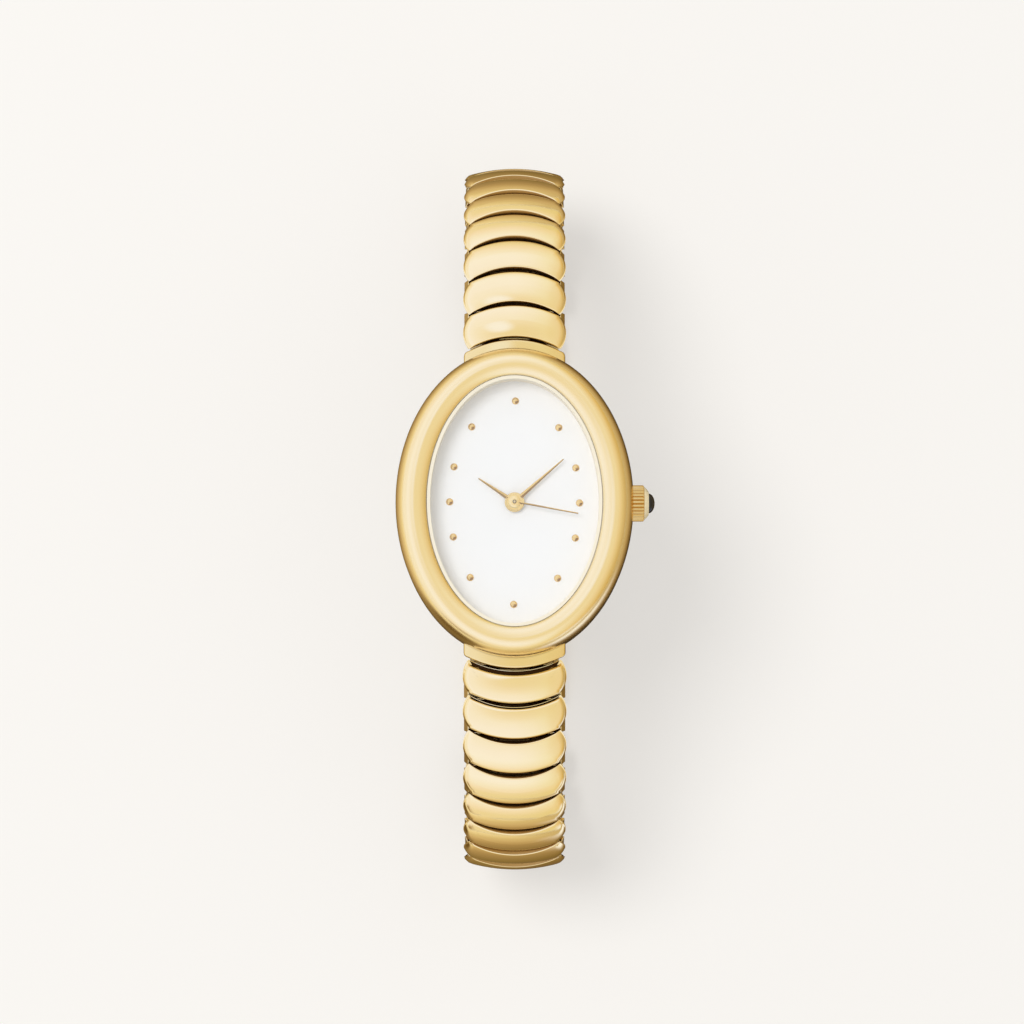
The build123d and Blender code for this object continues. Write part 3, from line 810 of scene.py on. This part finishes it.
def hinge_parts():
    """What a link keeps under its cap: ears, pin and tongue."""
    pin_end = ear_inner + pin_overlap
    low = (-tongue_half_width, tongue_start, -knuckle_radius)
    return [rod(knuckle_radius, -ear_half_width, -ear_inner, 0, 0),
            rod(knuckle_radius, ear_inner, ear_half_width, 0, 0),
            rod(pin_radius, -pin_end, pin_end, 0, 0),
            brick(low, (tongue_half_width, link_pitch, 0)),
            rod(knuckle_radius, -tongue_half_width, tongue_half_width, link_pitch, 0)]


def link_matrix(body, side, next_body):
    start, end = hinge_place(body), hinge_place(next_body)
    slope = math.atan2(start.z - end.z, side * (end.y - start.y))
    turn = Matrix.Identity(4) if side > 0 else Matrix.Rotation(math.pi, 4, "Z")
    place = Matrix.Translation((0, side * start.y, start.z))
    return turn @ place @ Matrix.Rotation(-slope, 4, "X")


def make_links():
    caps = {"link_six_01": cap_shell(first_groove_width), "link_six_02": cap_shell(groove_width)}
    smooth_cap = cap_shell(0)
    parts = hinge_parts()
    for side_name, side, last in (("twelve", 1, "clasp_box"), ("six", -1, "ladder_plate")):
        for i in range(1, links_per_side + 1):
            body = f"link_{side_name}_{i:02d}"
            following = f"link_{side_name}_{i + 1:02d}" if i < links_per_side else last
            matrix = link_matrix(body, side, following)
            cap, marked = caps.get(body, smooth_cap)
            # Grooves and near edges take painted shade
            edge = groove_painted_shade if body in caps else edge_painted_shade
            obj = mesh_piece("cap_" + body, [moved(cap, matrix)], link_gold, cap_sharp,
                             second=edge, marked=marked)
            dress(obj, body, body, slot="link_gold")
            obj = mesh_piece("side_" + body, [moved(side_body(), matrix)], side_gold, bevel=side_bevel)
            dress(obj, body, body, slot="link_gold")
            placed = [moved(part, matrix) for part in parts]
            obj = mesh_piece("hinge_" + body, placed, hinge_painted_shade_gold, bevel=fine_bevel)
            dress(obj, body, body)


# Case


back_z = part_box("case_back")[0][2]
lug = hinge_place("link_twelve_01")


def bezel_profile():
    """(share towards the opening, height) from the foot of the wall over the crest."""
    profile = [(0.0, wall_foot), (0.0, wall_top / 2), (0.0, wall_top)]
    for i in range(1, outer_steps + 1):
        angle = 0.5 * math.pi * i / outer_steps
        height = wall_top + (crest - wall_top) * math.sin(angle)
        profile.append((crest_share * (1 - math.cos(angle)), height))
    last = math.radians(inner_turn)
    for i in range(1, inner_steps + 1):
        angle = last * i / inner_steps
        share = crest_share + (inner_edge_share - crest_share) * math.sin(angle) / math.sin(last)
        profile.append((share, crest - inner_roll * (1 - math.cos(angle))))
    return profile


def bezel_parts():
    """The case ring, and the faces of the pale ring round the dial."""
    sizes = []
    for share, height in bezel_profile():
        across = case_across + (opening_across - case_across) * share
        along = case_along + (opening_along - case_along) * share
        sizes.append((across, along, height))
    first = (len(sizes) - 1) * oval_steps
    flange_across, flange_along = opening_across - flange_inset, opening_along - flange_inset
    sizes += [(opening_across, opening_along, rim - rim_drop), (opening_across, opening_along, seat),
              (flange_across + flange_slope, flange_along + flange_slope, seat),
              (flange_across, flange_along, dial_level), (cavity_across, cavity_along, dial_level),
              (cavity_across, cavity_along, wall_foot)]
    rings = [oval_ring(across, along, back_z + height) for across, along, height in sizes]
    return [skin(rings, wrap=True)], range(first, first + pale_rows * oval_steps)


def hood_outline():
    """A hood from above: square at its root, with a crescent edge that covers the hinge."""
    run = crescent_run(lug.y - near_edge - joint_gap, corner_x, -corner_x, hood_steps)
    far = run[0]
    waist = Vector((hood_half_width, far.y - hood_waist))
    bend = Vector((hood_half_width, far.y - hood_waist_pull))
    right = [bezier(waist, bend, far, i / hood_waist_steps) for i in range(hood_waist_steps + 1)]
    left = [Vector((-p.x, p.y)) for p in reversed(right)]
    root = [Vector((-hood_half_width, hood_root)), Vector((hood_half_width, hood_root))]
    return root + right + run[1:-1] + left


def hood_parts():
    outline = hood_outline()
    ways = []
    for i in range(len(outline)):
        along = (outline[(i + 1) % len(outline)] - outline[i - 1]).normalized()
        ways.append(Vector((-along.y, along.x)))

    def top(q):
        return lug.z + hood_top - q.x * q.x / (2 * dome_radius)

    rings = [[Vector((p.x, p.y, lug.z + hood_foot)) for p in outline]]
    for share in hood_edge_shares:
        angle = share * math.pi / 2
        ring = [p + way * (hood_edge * (1 - math.cos(angle))) for p, way in zip(outline, ways)]
        drop = hood_edge * (1 - math.sin(angle))
        rings.append([Vector((q.x, q.y, top(q) - drop)) for q in ring])
    for share in hood_roof_shares:
        ring = []
        for p, way in zip(outline, ways):
            q = p + way * hood_edge
            q = q.lerp(Vector((q.x * hood_narrow_share, hood_roof_end)), share)
            ring.append(Vector((q.x, q.y, top(q))))
        rings.append(ring)
    block = (-corner_x, hood_root, lug.z - link_depth)
    tongue = (-tongue_half_width, lug.y - hood_tongue_back, lug.z - knuckle_radius)
    return [skin(rings),
            brick(block, (corner_x, lug.y - hood_block_back, lug.z + hood_block_top)),
            brick(tongue, (tongue_half_width, lug.y, lug.z)),
            rod(knuckle_radius, -tongue_half_width, tongue_half_width, lug.y, lug.z)]


def cut_recess(obj):
    """Cuts the crown's seat out of the case side."""
    start = Vector((case_across - recess_depth, 0, back_z + crown_rise))
    profile = [(0, recess_radius), (recess_length, recess_radius)]
    tool = mesh_piece("recess_tool", [turned(profile, start, x_axis, y_axis, recess_steps)], bezel_gold)
    cut = obj.modifiers.new("recess", "BOOLEAN")
    cut.object = tool
    cut.operation = "DIFFERENCE"
    cut.solver = "EXACT"
    depsgraph = bpy.context.evaluated_depsgraph_get()
    mesh = bpy.data.meshes.new_from_object(obj.evaluated_get(depsgraph))
    obj.modifiers.clear()
    obj.data = mesh
    bpy.data.objects.remove(tool)


def make_case():
    parts, marked = bezel_parts()
    bezel = mesh_piece("bezel", parts, bezel_gold, second=ring_pale, marked=marked)
    cut_recess(bezel)
    dress(bezel, "case", "case_body", slot="case_gold")
    for name, turn in (("hood_twelve", 0), ("hood_six", math.pi)):
        matrix = Matrix.Rotation(turn, 4, "Z")
        parts = [moved(part, matrix) for part in hood_parts()]
        hood = mesh_piece(name, parts, hood_painted_reflection_gold, bevel=fine_bevel)
        dress(hood, "case", "case_body", slot="case_gold")


def make_crystal():
    low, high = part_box("crystal")
    across, along, edge = high[0], high[1], crystal_bevel
    rings = [oval_ring(across, along, low[2]), oval_ring(across, along, high[2] - edge),
             oval_ring(across - edge, along - edge, high[2])]
    glass = mesh_piece("crystal_glass", [skin(rings)], crystal_clear, glass_sharp)
    dress(glass, "case", "crystal", slot="crystal")
    low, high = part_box("crystal_gasket")
    inner = (across + seal_gap, along + seal_gap)
    rings = [oval_ring(high[0], high[1], low[2]), oval_ring(high[0], high[1], high[2]),
             oval_ring(*inner, high[2]), oval_ring(*inner, low[2])]
    seal = mesh_piece("crystal_seal", [skin(rings, wrap=True)], seal_pale)
    dress(seal, "case", "crystal_gasket", slot="seal_pale")


# Dial furniture


def make_markers():
    """Twelve dots on an oval, each with painted shade on its lower right side."""
    profile = [(0, marker_radius)]
    for i in range(1, dot_rows):
        lift = 0.5 * math.pi * i / dot_rows
        profile.append((marker_height * math.sin(lift), marker_radius * math.cos(lift)))
    profile.append((marker_height, marker_tip))
    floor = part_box("hour_markers")[0][2]
    turn = Matrix.Rotation(math.radians(markers_turn), 3, "Z")
    dots, marked = [], []
    for hour in range(12):
        angle = math.radians(30 * hour)
        radius = 1 / math.hypot(math.sin(angle) / markers_across, math.cos(angle) / markers_along)
        centre = Vector((radius * math.sin(angle), radius * math.cos(angle), floor))
        centre.rotate(turn)
        dot = turned(profile, centre, z_axis, x_axis, dot_steps)
        for row in dot_shade_rows:
            for i in range(round(dot_steps * dot_shade_share), dot_steps):
                marked.append(hour * len(dot[1]) + row * dot_steps + i)
        dots.append(dot)
    markers = mesh_piece("markers", dots, marker_gold, marker_sharp, second=marker_painted_shade, marked=marked)
    dress(markers, "case", "hour_markers", slot="marker_gold")


def hand_parts(z, reach, root, tip, thickness, turn, profile):
    """A ridged tapering arm and its round boss, and the arm's facets that take painted shade."""
    rings = []
    tip_height = thickness * max(tip / root, tip_height_share)
    for y, width, height in ((0, root, thickness), (reach, tip, tip_height)):
        half, foot = width / 2, ridge_foot_share * height
        rings.append([Vector((-half, y, 0)), Vector((half, y, 0)), Vector((half, y, foot)),
                      Vector((0, y, height)), Vector((-half, y, foot))])
    matrix = Matrix.Translation((0, 0, z)) @ Matrix.Rotation(math.radians(-turn), 4, "Z")
    parts = [moved(skin(rings), matrix), turned(profile, Vector((0, 0, z)), z_axis, x_axis, boss_steps)]
    return parts, [1, 2] if turn < 180 else [3, 4]


def boss(floor, roof, low, high):
    """The slice of the middle dome that belongs to one hand, from its own foot."""
    profile = []
    for i in range(boss_rows + 1):
        z = low + (high - low) * i / boss_rows
        share = boss_bulge_share * (z - floor) / (roof - floor)
        profile.append((z - low, boss_radius * math.sqrt(1 - share**2)))
    height = high - low
    if high < roof:
        return profile + [(height, pipe_radius)]
    dimple = (dimple_depth_share * height, dimple_floor_share * dimple_radius)
    return profile + [(height + dimple_lip, dimple_radius), dimple]


def make_hands():
    specs = [("hour_hand", "hours", hour_turn, hand_root, hand_tip),
             ("minute_hand", "minutes", minute_turn, hand_root, hand_tip),
             ("second_hand", "seconds", second_turn, second_root, second_tip)]
    floor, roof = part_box("hour_hand")[0][2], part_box("second_hand")[1][2]
    for node, body, turn, root, tip in specs:
        low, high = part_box(node)
        sine = math.sin(math.radians(turn))
        reach = (high[0] if sine > 0 else -low[0]) / abs(sine) - hand_room
        profile = boss(floor, roof, low[2], high[2])
        parts, marked = hand_parts(low[2], reach, root, tip, high[2] - low[2], turn, profile)
        # The second hand's dimple takes painted shade too
        if node == "second_hand":
            total = sum(len(faces) for points, faces in parts)
            marked += list(range(total - boss_steps - 2, total))
        obj = mesh_piece("dressed_" + node, parts, hand_gold, hand_sharp, second=hand_painted_shade, marked=marked)
        dress(obj, body, node, slot="hand_gold")


# Crown


def make_crown():
    start = Vector((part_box("crown")[0][0], 0, back_z + crown_rise))

    def fluted(radius, angle):
        if radius < crown_radius - flute_depth:
            return radius
        wave = 0.5 + 0.5 * math.cos(crown_flutes * angle)
        return radius - flute_depth * (1 - wave**flute_power)

    smooth = crown_radius - flute_depth - nose_inset
    profile = [(0, crown_radius - crown_back_chamfer), (crown_edge, crown_radius),
               (crown_body - crown_edge, crown_radius), (crown_body, crown_radius - crown_front_chamfer),
               (crown_body + crown_step, smooth)]
    for share in nose_shares:
        radius = smooth + (crown_nose_radius - smooth) * share**nose_power
        profile.append((crown_body + crown_step + (crown_nose - crown_step) * share, radius))
    profile.append((crown_body + crown_nose, nose_tip))
    steps = steps_per_flute * crown_flutes
    # The nose takes the painted highlight
    marked = range(highlight_first_row * steps, highlight_end_row * steps)
    parts = [turned(profile, start, x_axis, y_axis, steps, fluted)]
    crown = mesh_piece("dressed_crown", parts, crown_gold, crown_sharp, second=crown_painted_highlight, marked=marked)
    dress(crown, "crown", "crown", slot="crown_gold")
    low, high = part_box("crown_cabochon")
    height = high[0] - low[0] - cabochon_sink
    profile = [(0, cabochon_radius)]
    for i in range(cabochon_rows + 1):
        lift = 0.5 * math.pi * i / (cabochon_rows + cabochon_open_share)
        profile.append((cabochon_sink + height * math.sin(lift), cabochon_radius * math.cos(lift)))
    start = Vector((low[0], 0, back_z + crown_rise))
    stone = mesh_piece("cabochon", [turned(profile, start, x_axis, y_axis)], stone_black, stone_sharp)
    dress(stone, "crown", "crown_cabochon", slot="cabochon_black")


# Studio


background_colour = srgb(248, 245, 240)


def make_floor():
    """A pale floor that shows half its plain colour and half the light that falls on it."""
    material = bpy.data.materials.new("floor")
    tree = emptied(material)
    out = tree.nodes.new("ShaderNodeOutputMaterial")
    path = tree.nodes.new("ShaderNodeLightPath")
    diffuse = tree.nodes.new("ShaderNodeBsdfDiffuse")
    diffuse.inputs["Color"].default_value = background_colour
    glow = tree.nodes.new("ShaderNodeEmission")
    glow.inputs["Color"].default_value = background_colour
    glow.inputs["Strength"].default_value = 1.0
    share = scaled(tree, path.outputs["Is Camera Ray"], floor_glow_share, 0)
    tree.links.new(mix_shaders(tree, share, diffuse.outputs[0], glow.outputs[0]), out.inputs["Surface"])
    corners = [(-1, -1), (1, -1), (1, 1), (-1, 1)]
    points = [Vector((floor_half * x, floor_half * y, 0)) for x, y in corners]
    floor = mesh_piece("floor", [(points, [[0, 1, 2, 3]])], material)
    floor.location.z = -floor_drop


def ramp_node(tree, value, stops):
    """A colour ramp from (position, colour) pairs."""
    node = tree.nodes.new("ShaderNodeValToRGB")
    ramp = node.color_ramp
    ramp.elements[0].position, ramp.elements[0].color = stops[0][0], (*stops[0][1], 1)
    ramp.elements[1].position, ramp.elements[1].color = stops[-1][0], (*stops[-1][1], 1)
    for position, colour in stops[1:-1]:
        ramp.elements.new(position).color = (*colour, 1)
    tree.links.new(value, node.inputs[0])
    return node.outputs[0]


def scaled(tree, value, factor, offset):
    node = tree.nodes.new("ShaderNodeMath")
    node.operation = "MULTIPLY_ADD"
    node.inputs[1].default_value = factor
    node.inputs[2].default_value = offset
    tree.links.new(value, node.inputs[0])
    return node.outputs[0]


def multiplied(tree, first, second):
    node = tree.nodes.new("ShaderNodeMix")
    node.data_type = "RGBA"
    node.blend_type = "MULTIPLY"
    node.inputs[0].default_value = 1.0
    tree.links.new(first, node.inputs[6])
    tree.links.new(second, node.inputs[7])
    return node.outputs[2]


def blended(tree, share, first, colour):
    """Turns a colour into a plain one by a share."""
    node = tree.nodes.new("ShaderNodeMix")
    node.data_type = "RGBA"
    node.inputs[7].default_value = (*colour, 1)
    tree.links.new(share, node.inputs[0])
    tree.links.new(first, node.inputs[6])
    return node.outputs[2]


def faded(tree, value, start, end):
    """0 at the start value and 1 at the end one."""
    node = tree.nodes.new("ShaderNodeMapRange")
    node.interpolation_type = "SMOOTHSTEP"
    node.inputs["From Min"].default_value = start
    node.inputs["From Max"].default_value = end
    tree.links.new(value, node.inputs["Value"])
    return node.outputs["Result"]


def make_card():
    """A warm card on the floor, darker towards the watch, that only reflections see."""
    material = bpy.data.materials.new("warm_card")
    tree = emptied(material)
    out = tree.nodes.new("ShaderNodeOutputMaterial")
    glow = tree.nodes.new("ShaderNodeEmission")
    place = tree.nodes.new("ShaderNodeTexCoord")
    shift = tree.nodes.new("ShaderNodeVectorMath")
    shift.operation = "MULTIPLY_ADD"
    shift.inputs[1].default_value = (card_narrow, 1, 1)
    shift.inputs[2].default_value = (-card_shift * card_narrow, 0, 0)
    tree.links.new(place.outputs["Object"], shift.inputs[0])
    length = tree.nodes.new("ShaderNodeVectorMath")
    length.operation = "LENGTH"
    tree.links.new(shift.outputs["Vector"], length.inputs[0])
    away = scaled(tree, length.outputs["Value"], 1 / card_reach, 0)
    tone = ramp_node(tree, away, card_stops)
    axes = tree.nodes.new("ShaderNodeSeparateXYZ")
    tree.links.new(place.outputs["Object"], axes.inputs[0])
    side = ramp_node(tree, scaled(tree, axes.outputs["X"], 0.5 / card_reach, 0.5), card_side_stops)
    colour = multiplied(tree, tone, side)
    for centre, turn, half_length, half_width, tint in card_patches:
        mapping = tree.nodes.new("ShaderNodeMapping")
        mapping.vector_type = "TEXTURE"
        mapping.inputs["Location"].default_value = centre
        mapping.inputs["Rotation"].default_value = (0, 0, math.radians(turn))
        mapping.inputs["Scale"].default_value = (half_length, half_width, 1)
        tree.links.new(place.outputs["Object"], mapping.inputs["Vector"])
        reach = tree.nodes.new("ShaderNodeVectorMath")
        reach.operation = "LENGTH"
        tree.links.new(mapping.outputs["Vector"], reach.inputs[0])
        share = faded(tree, reach.outputs["Value"], patch_start, patch_full)
        colour = blended(tree, share, colour, tint)
    tree.links.new(colour, glow.inputs["Color"])
    tree.links.new(glow.outputs[0], out.inputs["Surface"])
    rings = [oval_ring(reach, reach, card_level) for reach in (card_reach, card_hole)]
    card = mesh_piece("warm_card", [skin(rings)], material)
    card.visible_camera = False
    card.visible_diffuse = False
    card.visible_shadow = False
    card.visible_transmission = False
    card.visible_volume_scatter = False


def make_world():
    """What polished surfaces mirror, the even light on the rest, and the plain background."""
    world = bpy.data.worlds.new("studio")
    bpy.context.scene.world = world
    tree = emptied(world)
    out = tree.nodes.new("ShaderNodeOutputWorld")
    path = tree.nodes.new("ShaderNodeLightPath")
    place = tree.nodes.new("ShaderNodeTexCoord")
    axes = tree.nodes.new("ShaderNodeSeparateXYZ")
    tree.links.new(place.outputs["Generated"], axes.inputs[0])
    lifted = tree.nodes.new("ShaderNodeMath")
    lifted.operation = "MAXIMUM"
    tree.links.new(axes.outputs["Z"], lifted.inputs[0])
    tree.links.new(scaled(tree, axes.outputs["X"], left_lift, 0), lifted.inputs[1])
    height = ramp_node(tree, lifted.outputs[0], sky_stops)
    side = ramp_node(tree, scaled(tree, axes.outputs["X"], 0.5, 0.5), side_stops)
    blend = multiplied(tree, height, side)
    for direction, edge, full, tint in sky_patches:
        near = tree.nodes.new("ShaderNodeVectorMath")
        near.operation = "DOT_PRODUCT"
        near.inputs[1].default_value = direction
        tree.links.new(place.outputs["Generated"], near.inputs[0])
        blend = blended(tree, faded(tree, near.outputs["Value"], edge, full), blend, tint)
    glossy = tree.nodes.new("ShaderNodeBackground")
    tree.links.new(blend, glossy.inputs["Color"])
    fill = tree.nodes.new("ShaderNodeBackground")
    fill.inputs["Color"].default_value = fill_colour
    fill.inputs["Strength"].default_value = fill_strength
    seen = tree.nodes.new("ShaderNodeBackground")
    seen.inputs["Color"].default_value = background_colour
    light = mix_shaders(tree, path.outputs["Is Glossy Ray"], fill.outputs[0], glossy.outputs[0])
    surface = mix_shaders(tree, path.outputs["Is Camera Ray"], light, seen.outputs[0])
    tree.links.new(surface, out.inputs["Surface"])


def make_key():
    """The soft lamp, which polished surfaces don't mirror."""
    data = bpy.data.lights.new("key", "AREA")
    data.shape = "DISK"
    data.size = key_size
    data.energy = key_power
    key = bpy.data.objects.new("key", data)
    bpy.context.scene.collection.objects.link(key)
    direction = Vector(key_direction)
    key.location = Vector((0, 0, key_target_height)) + direction.normalized() * key_distance
    key.rotation_euler = (-direction).to_track_quat("-Z", "Y").to_euler()
    key.visible_glossy = False


def make_camera():
    scene = bpy.context.scene
    data = bpy.data.cameras.new("camera")
    data.lens = camera_lens
    data.sensor_width = camera_sensor
    data.clip_start = camera_near
    camera = bpy.data.objects.new("camera", data)
    scene.collection.objects.link(camera)
    angle = math.radians(camera_elevation)
    back = Vector((0, -math.cos(angle), math.sin(angle)))
    target = Vector((aim_shift_x, aim_shift_y, back_z + dial_level))
    camera.location = target + back * camera_distance
    camera.rotation_euler = (-back).to_track_quat("-Z", "Y").to_euler()
    scene.camera = camera


dress_frame()
make_links()
make_case()
make_crystal()
make_markers()
make_hands()
make_crown()
make_floor()
make_card()
make_world()
make_key()
make_camera()
bpy.context.scene.view_settings.view_transform = "Standard"
